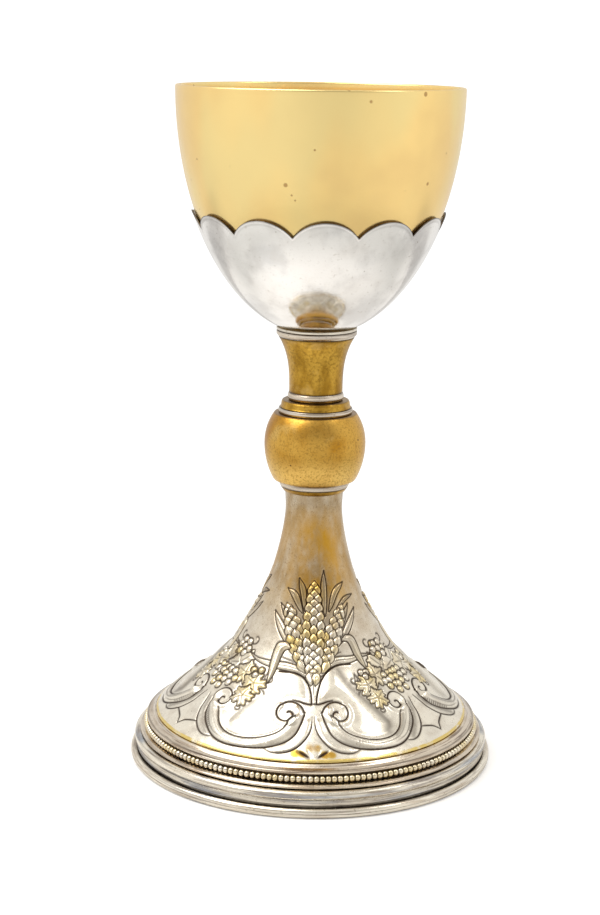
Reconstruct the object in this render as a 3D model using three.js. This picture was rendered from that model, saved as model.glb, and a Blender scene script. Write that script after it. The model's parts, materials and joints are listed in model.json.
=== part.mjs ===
// A communion chalice: a gilt cup in a scalloped silver calyx, a gilt stem and knop between
// silver rings, and a silver trumpet foot with a beaded moulding.
// Every piece is turned about the vertical axis, so each one is an outline of [radius, height]
// points spun round +Z. Millimetres, +Z up, origin at the centre of the face the chalice
// stands on, with the foot's front panel facing -Y.
// The cup screws on to the top of a tie rod, and a nut inside the foot clamps the stack.

import * as THREE from "three";

// ---- Driving dimensions -------------------------------------------------------------

const HEIGHT = 238.8; // lip above the table
const CUP_RADIUS = 49.5;
const BOWL_DEPTH = 84.8; // the bowl is half an ellipsoid, this deep and CUP_RADIUS wide
const CUP_WALL = 1.0;
const FOOT_RADIUS = 65.3;

const CALYX_WALL = 0.5;
const CALYX_GAP = 0.35; // solder gap between calyx and cup
const CALYX_CREST = 196.4; // top of each scallop
const CALYX_CUSP = 191; // where two scallops meet
const CALYX_FOLD = 176; // below this the calyx edge's waves are gone
const SCALLOPS = 12;
const SCALLOP_TURN = 3; // degrees that the calyx is turned from the foot's front

const ROD_RADIUS = 4; // M8 tie rod
const ROD_BOTTOM = 77;
const ROD_TOP = 152;
const THREAD_GAP = 0.3; // the threads are plain, so they keep this clearance
const ROD_HOLE = 5.2; // radius of the holes that the rod passes through
const JOINT_GAP = 0.1; // solder or contact line between stacked pieces

const NECK_TOP = 97.6; // the foot's upper end
const NECK_RADIUS = 10.3;
const DOME_EDGE = 16.4; // the foot's lower end, on its moulding
const DOME_RADIUS = 56;
const FOOT_WALL = { inward: 1.1, downward: 0.6 }; // shift from the foot's outer face to its inner

const ROUND = 48; // sides of a large turned piece
const SMALL_ROUND = 24; // sides of a rod, ring or stem piece
const SCALLOP_STEPS = 6; // columns across one scallop

// ---- Materials ----------------------------------------------------------------------

const metal = (color, roughness) =>
  new THREE.MeshStandardMaterial({ color, roughness, metalness: 1 });

const GILT_BRIGHT = metal(0xf9d98c, 0.28);
const GILT_AGED = metal(0xb08a3c, 0.45);
const SILVER = metal(0xe4ddd2, 0.25);
const SILVER_TARNISHED = metal(0xbaa692, 0.4);
const BRASS = metal(0xb5a060, 0.4);

// ---- Helpers ------------------------------------------------------------------------

const degrees = THREE.MathUtils.degToRad;

// Points from the first to the last parameter, where at(t) gives one [radius, height].
function along(at, first, last, steps) {
  return Array.from({ length: steps + 1 }, (_, i) => at(first + ((last - first) * i) / steps));
}

// A round stretch of outline; angles in degrees, 0 pointing outwards and 90 up.
function arc(radius, height, bend, first, last, steps) {
  const at = (angle) => [
    radius + bend * Math.cos(degrees(angle)),
    height + bend * Math.sin(degrees(angle)),
  ];
  return along(at, first, last, steps);
}

// An outline spun round +Z. It runs up the outside, and closes on itself or on the axis.
function spin(outline, sides) {
  const points = outline.map(([radius, height]) => new THREE.Vector2(radius, height));
  if (outline[0][0] > 0) points.push(points[0].clone());
  return new THREE.LatheGeometry(points, sides).rotateX(Math.PI / 2);
}

function piece(name, geometry, material) {
  const mesh = new THREE.Mesh(geometry, material);
  mesh.name = name;
  return mesh;
}

// A flat ring of rectangular section.
function flatRing(inner, outer, bottom, top) {
  return [
    [inner, bottom],
    [outer, bottom],
    [outer, top],
    [inner, top],
  ];
}

// A ring whose outer edge bulges by a shallow arc.
function bulgedRing(inner, outer, bottom, top, bulge) {
  const middle = (bottom + top) / 2;
  const half = (top - bottom) / 2;
  const at = (t) => [outer - bulge * t * t, middle + half * t];
  return [[inner, bottom], ...along(at, -1, 1, 4), [inner, top]];
}

// The bowl's half ellipsoid, grown sideways and downwards; t is 0 at the bottom, 90 at the lip.
function bowlCurve(sideways, downwards) {
  return (t) => [
    (CUP_RADIUS + sideways) * Math.sin(degrees(t)),
    HEIGHT - (BOWL_DEPTH + downwards) * Math.cos(degrees(t)),
  ];
}

// The angle t at which a bowl curve has this height.
function bowlAngle(downwards, height) {
  return THREE.MathUtils.radToDeg(Math.acos((HEIGHT - height) / (BOWL_DEPTH + downwards)));
}

// ---- Cup, calyx and boss ------------------------------------------------------------

const CUP_FLAT = 158; // the bowl's flattened bottom, soldered to the boss
const LIP_ROUND = 0.25; // rounding of the lip's two corners
const CALYX_FLOOR = 157.2; // height of the calyx's outer face where it meets its floor
const BOSS_RADIUS = 7;
const BOSS_FLANGE = 8.4; // keeps the seat ring on the boss
const BOSS_BOTTOM = 143;
const SEAT_BOTTOM = 155.2;
const SEAT_TOP = 156.4;

function cupOutline() {
  const outside = bowlCurve(0, 0);
  const inside = bowlCurve(-CUP_WALL, -CUP_WALL);
  const lipFace = HEIGHT - LIP_ROUND;
  return [
    [0, CUP_FLAT],
    ...along(outside, bowlAngle(0, CUP_FLAT), bowlAngle(0, lipFace), 8),
    [CUP_RADIUS - LIP_ROUND, HEIGHT],
    [CUP_RADIUS - CUP_WALL + LIP_ROUND, HEIGHT],
    ...along(inside, bowlAngle(-CUP_WALL, lipFace), bowlAngle(-CUP_WALL, CUP_FLAT + CUP_WALL), 7),
    [0, CUP_FLAT + CUP_WALL],
  ];
}

// Height of the calyx's edge at an angle about the axis: a row of round scallops.
function scallopHeight(angle) {
  const pitch = (2 * Math.PI) / SCALLOPS;
  const offset = angle - pitch * Math.round(angle / pitch);
  const rise = CALYX_CREST - CALYX_CUSP;
  const narrowing = 0.88; // the bowl's radius here is this share of its full radius
  const halfWidth = (CUP_RADIUS * narrowing * pitch) / 2;
  const bend = (halfWidth ** 2 + rise ** 2) / (2 * rise);
  const across = (halfWidth * offset) / (pitch / 2);
  return CALYX_CREST - bend + Math.sqrt(bend ** 2 - across ** 2);
}

function calyxGeometry() {
  const outer = CALYX_GAP + CALYX_WALL;
  const outside = bowlCurve(outer, outer);
  const inside = bowlCurve(CALYX_GAP, CALYX_GAP);
  const insideFloor = CALYX_FLOOR + CALYX_WALL - JOINT_GAP;
  const outline = [
    [BOSS_RADIUS + THREAD_GAP, CALYX_FLOOR],
    ...along(outside, bowlAngle(outer, CALYX_FLOOR), bowlAngle(outer, CALYX_CREST), 6),
    ...along(inside, bowlAngle(CALYX_GAP, CALYX_CREST), bowlAngle(CALYX_GAP, insideFloor), 6),
    [BOSS_RADIUS + THREAD_GAP, insideFloor],
  ];
  const geometry = spin(outline, SCALLOPS * SCALLOP_STEPS);

  // Pull the upper part down to the scalloped edge, following the bowl inwards.
  const bowlRadius = (height) => {
    const drop = (HEIGHT - height) / BOWL_DEPTH;
    return CUP_RADIUS * Math.sqrt(1 - drop ** 2);
  };
  const position = geometry.getAttribute("position");
  for (let i = 0; i < position.count; i++) {
    const [x, y, z] = [position.getX(i), position.getY(i), position.getZ(i)];
    if (z <= CALYX_FOLD) continue;
    const edge = scallopHeight(Math.atan2(x, -y));
    const share = (z - CALYX_FOLD) / (CALYX_CREST - CALYX_FOLD);
    const height = CALYX_FOLD + share * (edge - CALYX_FOLD);
    const radius = Math.hypot(x, y);
    const grow = (radius + bowlRadius(height) - bowlRadius(z)) / radius;
    position.setXYZ(i, x * grow, y * grow, height);
  }
  return geometry.rotateZ(degrees(SCALLOP_TURN));
}

// A boss with a blind threaded hole, and a flange at its lower end.
function bossOutline() {
  const bore = ROD_RADIUS + THREAD_GAP;
  const endRoom = 0.5; // between the rod's end and the bottom of the hole
  const flangeThickness = 2;
  const boreTop = ROD_TOP + endRoom;
  const flangeTop = BOSS_BOTTOM + flangeThickness;
  return [
    [0, boreTop],
    [bore, boreTop],
    [bore, BOSS_BOTTOM],
    [BOSS_FLANGE, BOSS_BOTTOM],
    [BOSS_FLANGE, flangeTop],
    [BOSS_RADIUS, flangeTop],
    [BOSS_RADIUS, CUP_FLAT - JOINT_GAP],
    [0, CUP_FLAT - JOINT_GAP],
  ];
}

const cup = new THREE.Group();
cup.add(
  piece("cup", spin(cupOutline(), ROUND), GILT_BRIGHT),
  piece("calyx", calyxGeometry(), SILVER),
  piece("cup_boss", spin(bossOutline(), SMALL_ROUND), BRASS),
);

// ---- Stem and knop ------------------------------------------------------------------

const BASE_COLLAR_TOP = 99.3;
const KNOP_BOTTOM = 101.7;
const KNOP_MIDDLE = 115;
const KNOP_TOP = 125.8;
const FILLET_TOP = 127.7;
const TOP_COLLAR_TOP = 130.4;
const STEM_BOTTOM = 133.3;
const STEM_TOP = 152.8;
const STEM_RADIUS = 9.4;
const STEM_FLARE = 3.9; // how far the stem's mouth opens
const BOSS_ROOM = 9; // radius of the hollow that holds the boss
const KNOP_RADIUS = 17.9;
const KNOP_WALL = 1.2;
const KNOP_UPPER_HALF = 18.4; // half heights of the two ellipses that shape its side
const KNOP_LOWER_HALF = 22.5;
const TOP_RING_RADIUS = 14.1;
const STEM_RING_RADIUS = 9.9;
const TOP_COLLAR_RADIUS = 12.6;
const FILLET_RADIUS = 13.1;
const KNOP_RING_RADIUS = 12.4;
const BASE_COLLAR_RADIUS = 12;

function stemOutline() {
  const rise = STEM_TOP - STEM_BOTTOM;
  const flared = (t) => [STEM_RADIUS + STEM_FLARE * t ** 3, STEM_BOTTOM + rise * t];
  const hollowFloor = 141;
  return [
    [ROD_HOLE, STEM_BOTTOM],
    ...along(flared, 0, 1, 5),
    [BOSS_ROOM, STEM_TOP],
    [BOSS_ROOM, hollowFloor],
    [ROD_HOLE, hollowFloor],
  ];
}

// The knop's side: two half ellipses that meet at its widest place, the upper one shorter.
function knopRadius(height, wall) {
  const rise = height - KNOP_MIDDLE;
  const halfHeight = rise > 0 ? KNOP_UPPER_HALF : KNOP_LOWER_HALF;
  return (KNOP_RADIUS - wall) * Math.sqrt(1 - (rise / halfHeight) ** 2);
}

// A hollow barrel with an end wall at each end, holed for the rod.
function knopOutline() {
  const side = (wall) => (height) => [knopRadius(height, wall), height];
  const roundedFoot = 1; // the lower edge is turned in over this height
  const innerBottom = KNOP_BOTTOM + KNOP_WALL;
  const innerTop = KNOP_TOP - KNOP_WALL;
  return [
    [ROD_HOLE, KNOP_BOTTOM],
    [knopRadius(KNOP_BOTTOM, 0) - roundedFoot, KNOP_BOTTOM],
    ...along(side(0), KNOP_BOTTOM + roundedFoot, KNOP_TOP, 6),
    [ROD_HOLE, KNOP_TOP],
    [ROD_HOLE, innerTop],
    ...along(side(KNOP_WALL), innerTop, innerBottom, 4),
    [ROD_HOLE, innerBottom],
  ];
}

function topRingOutline() {
  const bottom = STEM_TOP + JOINT_GAP;
  const top = SEAT_BOTTOM - JOINT_GAP;
  const chamfer = 0.85;
  return [
    [BOSS_ROOM, bottom],
    [TOP_RING_RADIUS - chamfer, bottom],
    [TOP_RING_RADIUS, bottom + chamfer],
    [TOP_RING_RADIUS, top],
    [BOSS_ROOM, top],
  ];
}

// A collar that narrows a little upwards between two softened edges.
function topCollarOutline() {
  const bottom = FILLET_TOP + JOINT_GAP;
  const edge = 0.6;
  return [
    [ROD_HOLE, bottom],
    [TOP_COLLAR_RADIUS, bottom],
    [TOP_COLLAR_RADIUS - 0.4, bottom + edge],
    [TOP_COLLAR_RADIUS - 0.6, TOP_COLLAR_TOP - edge],
    [TOP_COLLAR_RADIUS - 1, TOP_COLLAR_TOP],
    [ROD_HOLE, TOP_COLLAR_TOP],
  ];
}

// A collar that widens upwards.
function baseCollarOutline() {
  const bottom = NECK_TOP + JOINT_GAP;
  const flare = 1.1;
  return [
    [ROD_HOLE, bottom],
    [BASE_COLLAR_RADIUS - flare, bottom],
    [BASE_COLLAR_RADIUS, BASE_COLLAR_TOP],
    [ROD_HOLE, BASE_COLLAR_TOP],
  ];
}

// A thin ring that fills the space between two stacked pieces.
function ringBetween(below, above, radius, bulge) {
  const outline = bulgedRing(ROD_HOLE, radius, below + JOINT_GAP, above - JOINT_GAP, bulge);
  return spin(outline, SMALL_ROUND);
}

const stemRing = ringBetween(TOP_COLLAR_TOP, STEM_BOTTOM, STEM_RING_RADIUS, 0.5);
const fillet = spin(
  bulgedRing(ROD_HOLE, FILLET_RADIUS, KNOP_TOP + JOINT_GAP, FILLET_TOP, 0.3),
  SMALL_ROUND,
);
const knopRing = ringBetween(BASE_COLLAR_TOP, KNOP_BOTTOM, KNOP_RING_RADIUS, 0.4);

const stem = new THREE.Group();
stem.add(
  piece("stem_top_ring", spin(topRingOutline(), SMALL_ROUND), SILVER),
  piece("stem", spin(stemOutline(), SMALL_ROUND), GILT_AGED),
  piece("stem_bottom_ring", stemRing, SILVER),
  piece("knop_top_collar", spin(topCollarOutline(), SMALL_ROUND), GILT_AGED),
  piece("knop_top_fillet", fillet, SILVER),
  piece("knop", spin(knopOutline(), SMALL_ROUND), GILT_AGED),
  piece("knop_bottom_ring", knopRing, SILVER),
  piece("knop_base_collar", spin(baseCollarOutline(), SMALL_ROUND), GILT_AGED),
);

// ---- Foot ---------------------------------------------------------------------------

const MOULDING_TOP = DOME_EDGE - JOINT_GAP;
const MOULDING_BOTTOM = 9.2;
const BAND_BOTTOM = 4;
const BEAD_CENTRE = { radius: 59.45, height: 12.1 };
const BEAD_RADIUS = 1.15;
const PLATE_BOTTOM = 88;
const PLATE_TOP = 90;
const PLATE_RADIUS = 8.7;
const CLEAR_HOLE = 4.4; // radius of the plate's and washer's holes

// The foot's outer face: a straight neck that opens like a trumpet into a low dome.
const footCurve = new THREE.SplineCurve([
  new THREE.Vector2(DOME_RADIUS, DOME_EDGE + FOOT_WALL.downward),
  new THREE.Vector2(43.2, 27),
  new THREE.Vector2(31, 38.4),
  new THREE.Vector2(23.2, 49.8),
  new THREE.Vector2(16.5, 63.3),
  new THREE.Vector2(12.4, 76.6),
  new THREE.Vector2(10.2, 89),
  new THREE.Vector2(NECK_RADIUS, NECK_TOP),
]);

function footOutline() {
  const outside = (t) => footCurve.getPointAt(t).toArray();
  const inside = (t) => {
    const [radius, height] = outside(t);
    return [radius - FOOT_WALL.inward, height - FOOT_WALL.downward];
  };
  return [
    [DOME_RADIUS - FOOT_WALL.inward, DOME_EDGE],
    [DOME_RADIUS + JOINT_GAP, DOME_EDGE],
    ...along(outside, 0, 1, 10),
    [NECK_RADIUS - FOOT_WALL.inward, NECK_TOP],
    ...along(inside, 0.98, 0.02, 8),
  ];
}

// A stamped moulding: a cove under the dome, a channel for the beads and a stepped ledge.
function mouldingOutline() {
  const bore = DOME_RADIUS - 1;
  const ledge = 61.8;
  const channel = 58.1;
  const lip = 59.5;
  const neck = 56.6;
  return [
    [bore, MOULDING_BOTTOM],
    [ledge, MOULDING_BOTTOM],
    [ledge, MOULDING_BOTTOM + 0.8],
    [ledge - 0.9, MOULDING_BOTTOM + 1.3],
    [channel, MOULDING_BOTTOM + 1.6],
    [channel, MOULDING_TOP - 2.9],
    [lip, MOULDING_TOP - 2.5],
    [lip, MOULDING_TOP - 1.7],
    [neck + 1, MOULDING_TOP - 1],
    [neck, MOULDING_TOP],
    [bore, MOULDING_TOP],
  ];
}

// A wide half-round over an upright band.
function bandOutline() {
  const bore = 58;
  const wall = 63.3;
  const bend = 1.6; // of the half-round
  return [
    [bore, BAND_BOTTOM],
    [wall, BAND_BOTTOM],
    ...arc(wall - 1, MOULDING_BOTTOM - 0.2 - bend, bend, -50, 80, 5),
    [bore, MOULDING_BOTTOM - JOINT_GAP],
  ];
}

// The ring that the chalice stands on, with a groove under the band above it.
function baseRingOutline() {
  const bore = 58.5;
  const groove = 62.4;
  const edge = 1.4; // rounding of the outer edge
  const wireTop = 3.4;
  return [
    [bore, 0],
    [FOOT_RADIUS - edge, 0],
    ...arc(FOOT_RADIUS - edge, edge, edge, -60, 0, 2),
    ...arc(FOOT_RADIUS - edge, wireTop - edge, edge, 0, 90, 3),
    [groove, wireTop],
    [groove, BAND_BOTTOM - JOINT_GAP],
    [bore, BAND_BOTTOM - JOINT_GAP],
  ];
}

function beadWireGeometry() {
  const section = arc(BEAD_CENTRE.radius, BEAD_CENTRE.height, BEAD_RADIUS, -180, 120, 5);
  return spin(section, ROUND);
}

const plateOutline = flatRing(CLEAR_HOLE, PLATE_RADIUS, PLATE_BOTTOM, PLATE_TOP);

const foot = new THREE.Group();
foot.add(
  piece("foot", spin(footOutline(), ROUND), SILVER),
  piece("foot_neck_plate", spin(plateOutline, SMALL_ROUND), BRASS),
  piece("foot_moulding", spin(mouldingOutline(), ROUND), SILVER_TARNISHED),
  piece("bead_wire", beadWireGeometry(), SILVER),
  piece("foot_band", spin(bandOutline(), ROUND), SILVER),
  piece("base_ring", spin(baseRingOutline(), ROUND), SILVER),
);

// ---- Tie rod and fasteners ----------------------------------------------------------

const NUT_FLATS = 13; // across flats, M8
const NUT_HEIGHT = 6.4;
const WASHER_HEIGHT = 1.2;
const WASHER_RADIUS = 8;
const SEAT_RADIUS = 14.2;
const WASHER_BOTTOM = PLATE_BOTTOM - JOINT_GAP - WASHER_HEIGHT;

function hexNutGeometry() {
  const corner = NUT_FLATS / Math.sqrt(3);
  const shape = new THREE.Shape();
  for (let i = 0; i < 6; i++) {
    const angle = degrees(60 * i);
    const [x, y] = [corner * Math.cos(angle), corner * Math.sin(angle)];
    if (i === 0) shape.moveTo(x, y);
    else shape.lineTo(x, y);
  }
  shape.closePath();
  shape.holes.push(new THREE.Path().absarc(0, 0, ROD_RADIUS + THREAD_GAP, 0, 2 * Math.PI, true));
  const options = { depth: NUT_HEIGHT, bevelEnabled: false, curveSegments: 16 };
  return new THREE.ExtrudeGeometry(shape, options);
}

function rodOutline() {
  const chamfer = 0.6;
  return [
    [0, ROD_BOTTOM],
    [ROD_RADIUS - chamfer, ROD_BOTTOM],
    [ROD_RADIUS, ROD_BOTTOM + chamfer],
    [ROD_RADIUS, ROD_TOP - chamfer],
    [ROD_RADIUS - chamfer, ROD_TOP],
    [0, ROD_TOP],
  ];
}

const nut = piece("clamp_nut", hexNutGeometry(), BRASS);
nut.position.z = WASHER_BOTTOM - JOINT_GAP - NUT_HEIGHT;

const washerTop = WASHER_BOTTOM + WASHER_HEIGHT;
const washerOutline = flatRing(CLEAR_HOLE, WASHER_RADIUS, WASHER_BOTTOM, washerTop);
const seatOutline = bulgedRing(BOSS_RADIUS + THREAD_GAP, SEAT_RADIUS, SEAT_BOTTOM, SEAT_TOP, 0.3);

const fasteners = new THREE.Group();
fasteners.add(
  piece("tie_rod", spin(rodOutline(), SMALL_ROUND), BRASS),
  piece("seat_ring", spin(seatOutline, SMALL_ROUND), SILVER_TARNISHED),
  piece("nut_washer", spin(washerOutline, SMALL_ROUND), BRASS),
  nut,
);

// ---- The chalice --------------------------------------------------------------------

const chalice = new THREE.Group();
chalice.add(cup, stem, foot, fasteners);

export default chalice;
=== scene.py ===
"""A communion chalice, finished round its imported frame.

Every visible piece is made finer here than its CAD node, from sizes read off the node's box:
turned pieces get rounded edges, the calyx its raised scalloped rim, the bead wire its beads
and the foot its chased wheat, vines and scrolls. Sizes are in millimetres until a mesh is
made. Angles on the foot are degrees from its front, growing towards +X.
"""

import json
import math

import bmesh
import bpy
import numpy as np
from mathutils import Matrix, Vector


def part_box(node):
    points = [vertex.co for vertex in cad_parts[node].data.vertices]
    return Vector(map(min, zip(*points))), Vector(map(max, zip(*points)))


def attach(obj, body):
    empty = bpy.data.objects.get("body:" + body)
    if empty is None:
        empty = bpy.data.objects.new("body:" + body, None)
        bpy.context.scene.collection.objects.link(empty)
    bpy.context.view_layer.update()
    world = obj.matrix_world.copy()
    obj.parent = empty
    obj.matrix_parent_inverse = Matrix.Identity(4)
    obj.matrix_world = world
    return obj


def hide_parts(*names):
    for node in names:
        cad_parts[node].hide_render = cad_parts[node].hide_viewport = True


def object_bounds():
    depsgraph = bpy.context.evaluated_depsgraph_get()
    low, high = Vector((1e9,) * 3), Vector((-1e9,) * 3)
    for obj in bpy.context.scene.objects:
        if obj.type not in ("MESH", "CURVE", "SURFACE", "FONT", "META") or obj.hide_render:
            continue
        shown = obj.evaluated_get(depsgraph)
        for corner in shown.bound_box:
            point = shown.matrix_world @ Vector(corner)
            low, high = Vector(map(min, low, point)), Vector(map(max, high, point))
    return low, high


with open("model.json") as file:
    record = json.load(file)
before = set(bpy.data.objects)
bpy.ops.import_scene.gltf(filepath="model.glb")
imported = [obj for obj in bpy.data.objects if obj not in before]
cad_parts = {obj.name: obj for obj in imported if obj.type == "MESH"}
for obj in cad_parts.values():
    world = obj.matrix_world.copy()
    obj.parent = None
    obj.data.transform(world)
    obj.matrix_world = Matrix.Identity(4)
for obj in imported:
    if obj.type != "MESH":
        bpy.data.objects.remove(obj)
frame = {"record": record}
cad_low, cad_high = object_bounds()
random = np.random.default_rng(7)

MM = 0.001


# ---- Read from the frame ----

BODY_OF = {node: body for body, nodes in frame["record"]["behaviour"]["bodies"].items()
           for node in nodes}


def extent(node):
    """Outer radius, bottom and top of a turned node, in millimetres."""
    low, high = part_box(node)
    return high[0] / MM, low[2] / MM, high[2] / MM


# ---- Outlines ----


def rounded(outline, bend, steps=3):
    """A closed outline of (radius, height) with each corner turned into a small arc."""
    points = np.array(outline, float)
    result = []
    for before, here, after in zip(np.roll(points, 1, 0), points, np.roll(points, -1, 0)):
        back, on = before - here, after - here
        reach = min(bend, 0.45 * np.linalg.norm(back), 0.45 * np.linalg.norm(on))
        start = here + back / np.linalg.norm(back) * reach
        end = here + on / np.linalg.norm(on) * reach
        for t in np.linspace(0, 1, steps + 1):
            result.append((1 - t) ** 2 * start + 2 * t * (1 - t) * here + t**2 * end)
    return np.array(result)


def divided(outline, step):
    """A closed outline with its long stretches cut to at most this step."""
    result = []
    for here, after in zip(outline, np.roll(outline, -1, 0)):
        count = max(1, math.ceil(np.linalg.norm(after - here) / step))
        result += [here + (after - here) * k / count for k in range(count)]
    return np.array(result)


def arc(radius, height, bend, start, end, count):
    """Points of an arc of this bend round (radius, height), between two angles in degrees."""
    turn = np.radians(np.linspace(start, end, count))
    return np.column_stack([radius + bend * np.cos(turn), height + bend * np.sin(turn)])


def smooth_curve(points, step):
    """A Catmull-Rom curve through points, cut to about this step."""
    points = np.array(points, float)
    ends = np.vstack([2 * points[0] - points[1], points, 2 * points[-1] - points[-2]])
    result = [points[0]]
    for a, b, c, d in zip(ends, ends[1:], ends[2:], ends[3:]):
        count = max(2, math.ceil(np.linalg.norm(c - b) / step))
        for t in np.arange(1, count + 1) / count:
            bend = 2 * a - 5 * b + 4 * c - d
            twist = -a + 3 * b - 3 * c + d
            result.append(b + 0.5 * t * (c - a + t * (bend + t * twist)))
    return np.array(result)


# ---- Meshes ----


def grid_piece(name, points, node, finish, close_rows=True, **attributes):
    """A piece from points[row, column] in millimetres, closed round its columns."""
    rows, columns, _ = points.shape
    index = np.arange(rows * columns).reshape(rows, columns)
    last = rows if close_rows else rows - 1
    below, above = index[np.arange(last)], index[(np.arange(last) + 1) % rows]
    faces = np.stack([below, np.roll(below, -1, 1), np.roll(above, -1, 1), above], -1)
    values = {key: value.ravel() for key, value in attributes.items()}
    return finished_piece(name, points.reshape(-1, 3), faces.reshape(-1, 4), node, finish, values)


def finished_piece(name, points, faces, node, finish, attributes):
    """A smooth-shaded mesh with float attributes, in place of a node and on its body."""
    mesh = bpy.data.meshes.new(name)
    mesh.vertices.add(len(points))
    mesh.vertices.foreach_set("co", (points * MM).astype(np.float32).ravel())
    mesh.loops.add(faces.size)
    mesh.loops.foreach_set("vertex_index", faces.astype(np.int32).ravel())
    mesh.polygons.add(len(faces))
    starts = np.arange(len(faces), dtype=np.int32) * faces.shape[1]
    mesh.polygons.foreach_set("loop_start", starts)
    for key, value in attributes.items():
        layer = mesh.attributes.new(key, "FLOAT", "POINT")
        layer.data.foreach_set("value", value.astype(np.float32))
    mesh.update(calc_edges=True)
    mesh.validate()
    mesh.shade_smooth()
    mesh.materials.append(finish)
    piece = bpy.data.objects.new(name, mesh)
    bpy.context.scene.collection.objects.link(piece)
    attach(piece, BODY_OF[node])
    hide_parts(node)
    return piece


def joint_shade(height):
    """Painted shade near the lowest and highest edges of a piece, where it meets the next."""
    strength, width = 0.55, 0.25
    edge = np.minimum(height - height.min(), height.max() - height)
    return strength * np.exp(-((edge / width) ** 2))


def circle(count):
    """Evenly spaced angles round the axis, in radians from the front."""
    return np.arange(count) * 2 * math.pi / count


def placed(radius, angle, height):
    """Points at these radii, angles and heights, which are spread over each other."""
    return np.stack([radius * np.sin(angle), -radius * np.cos(angle), height + 0 * angle], -1)


def turned_piece(name, outline, node, finish, sides=192, bend=0.2, step=0.8, tone=joint_shade):
    """A piece of turned work: an outline that runs up the outside, spun round the axis."""
    profile = divided(rounded(outline, bend), step)
    angle, radius, height = circle(sides), profile[:, :1], profile[:, 1:]
    points = placed(radius, angle, height)
    grid_piece(name, points, node, finish, tone=tone(height) + 0 * angle)


# ---- Material building blocks ----


def opaque(colour):
    """A colour as a shader input: three plain values get an alpha of 1."""
    return colour if isinstance(colour, bpy.types.NodeSocket) else (*colour, 1)


class Nodes:
    """Short calls for building one shader: each returns the socket it makes."""

    def __init__(self, tree):
        self.tree = tree
        self.tree.nodes.clear()

    def node(self, kind, inputs=(), **settings):
        """A node whose inputs are sockets to link or values to set."""
        node = self.tree.nodes.new(kind)
        for key, value in settings.items():
            setattr(node, key, value)
        for key, value in dict(inputs).items():
            if isinstance(value, bpy.types.NodeSocket):
                self.tree.links.new(value, node.inputs[key])
            else:
                node.inputs[key].default_value = value
        return node

    def math(self, operation, first, second=0.0, third=0.0):
        inputs = {0: first, 1: second, 2: third}
        return self.node("ShaderNodeMath", inputs, operation=operation).outputs[0]

    def times(self, first, second):
        return self.math("MULTIPLY", first, second)

    def attribute(self, name):
        """One of the mesh's own values: tone, gilt or film."""
        return self.node("ShaderNodeAttribute", attribute_name=name).outputs["Fac"]

    def place(self, stretch=(1, 1, 1)):
        """Position in the frame, in metres, stretched so that a pattern runs along an axis."""
        where = self.node("ShaderNodeTexCoord").outputs["Object"]
        return self.node("ShaderNodeMapping", {"Vector": where, "Scale": stretch}).outputs[0]

    def noise(self, size, stretch=(1, 1, 1), detail=3.0, roughness=0.55):
        """Noise between 0 and 1 with features of about this size in millimetres."""
        inputs = {"Vector": self.place(stretch), "Scale": 1 / (size * MM), "Detail": detail,
                  "Roughness": roughness}
        return self.node("ShaderNodeTexNoise", inputs).outputs["Fac"]

    def specks(self, spacing, size, share):
        """Small round spots of this size in millimetres, in this share of the cells."""
        inputs = {"Vector": self.place(), "Scale": 1 / (spacing * MM)}
        cells = self.node("ShaderNodeTexVoronoi", inputs)
        spot = self.ramp(cells.outputs["Distance"], size / spacing, 0.6 * size / spacing)
        chosen = self.math("GREATER_THAN", cells.outputs["Color"], 1 - share)
        return self.times(spot, chosen)

    def ramp(self, value, start, end, low=0.0, high=1.0):
        """value mapped smoothly from start..end to low..high."""
        inputs = {"Value": value, "From Min": start, "From Max": end, "To Min": low, "To Max": high}
        node = self.node("ShaderNodeMapRange", inputs, interpolation_type="SMOOTHSTEP")
        return node.outputs["Result"]

    def mix(self, share, first, second):
        """A colour between two colours."""
        inputs = {0: share, 6: opaque(first), 7: opaque(second)}
        return self.node("ShaderNodeMix", inputs, data_type="RGBA").outputs[2]

    def layered(self, colour, *layers):
        """A colour under layers, each a share and the colour laid over in that share."""
        for share, over in layers:
            colour = self.mix(share, colour, over)
        return colour

    def metal(self, colour, roughness, relief, depth):
        """The finished surface: relief is a height from 0 to 1, and depth its size in mm."""
        bump = self.node("ShaderNodeBump", {"Height": relief, "Distance": depth * MM})
        inputs = {"Base Color": colour, "Metallic": 1.0, "Roughness": roughness,
                  "Normal": bump.outputs[0]}
        surface = self.node("ShaderNodeBsdfPrincipled", inputs)
        self.node("ShaderNodeOutputMaterial", {0: surface.outputs[0]})


def material(build):
    """A material named after the function that builds its nodes."""
    made = bpy.data.materials.new(build.__name__)
    made.use_nodes = True
    build(Nodes(made.node_tree))
    return made


# dark colour for toning in grooves and for painted shade at joints, gaps and edges
DARK_TONE_AND_SHADE = (0.045, 0.028, 0.018)
GOLD = (0.96, 0.70, 0.28)
DULL_GOLD = (0.86, 0.61, 0.25)
PALE_GOLD = (0.85, 0.69, 0.31)
GOLD_SPECK = (0.36, 0.20, 0.07)
OLD_GOLD = (0.64, 0.38, 0.06)
GOLD_STREAK = (0.30, 0.15, 0.012)
GOLD_BLOT = (0.27, 0.145, 0.02)
WORN_GOLD = (0.60, 0.40, 0.13)
KNOP_GOLD = (0.62, 0.36, 0.07)
KNOP_BROWN = (0.46, 0.22, 0.022)
KNOP_PALE = (0.66, 0.46, 0.16)
# the knop's painted highlight
KNOP_HIGHLIGHT = (0.88, 0.60, 0.18)
KNOP_GRAIN = (0.28, 0.15, 0.03)
KNOP_PIT = (0.10, 0.05, 0.02)
SILVER = (0.90, 0.88, 0.85)
OLD_SILVER = (0.87, 0.81, 0.69)
BROWNED_SILVER = (0.72, 0.63, 0.51)
GREY_TARNISH = (0.42, 0.43, 0.45)
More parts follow.
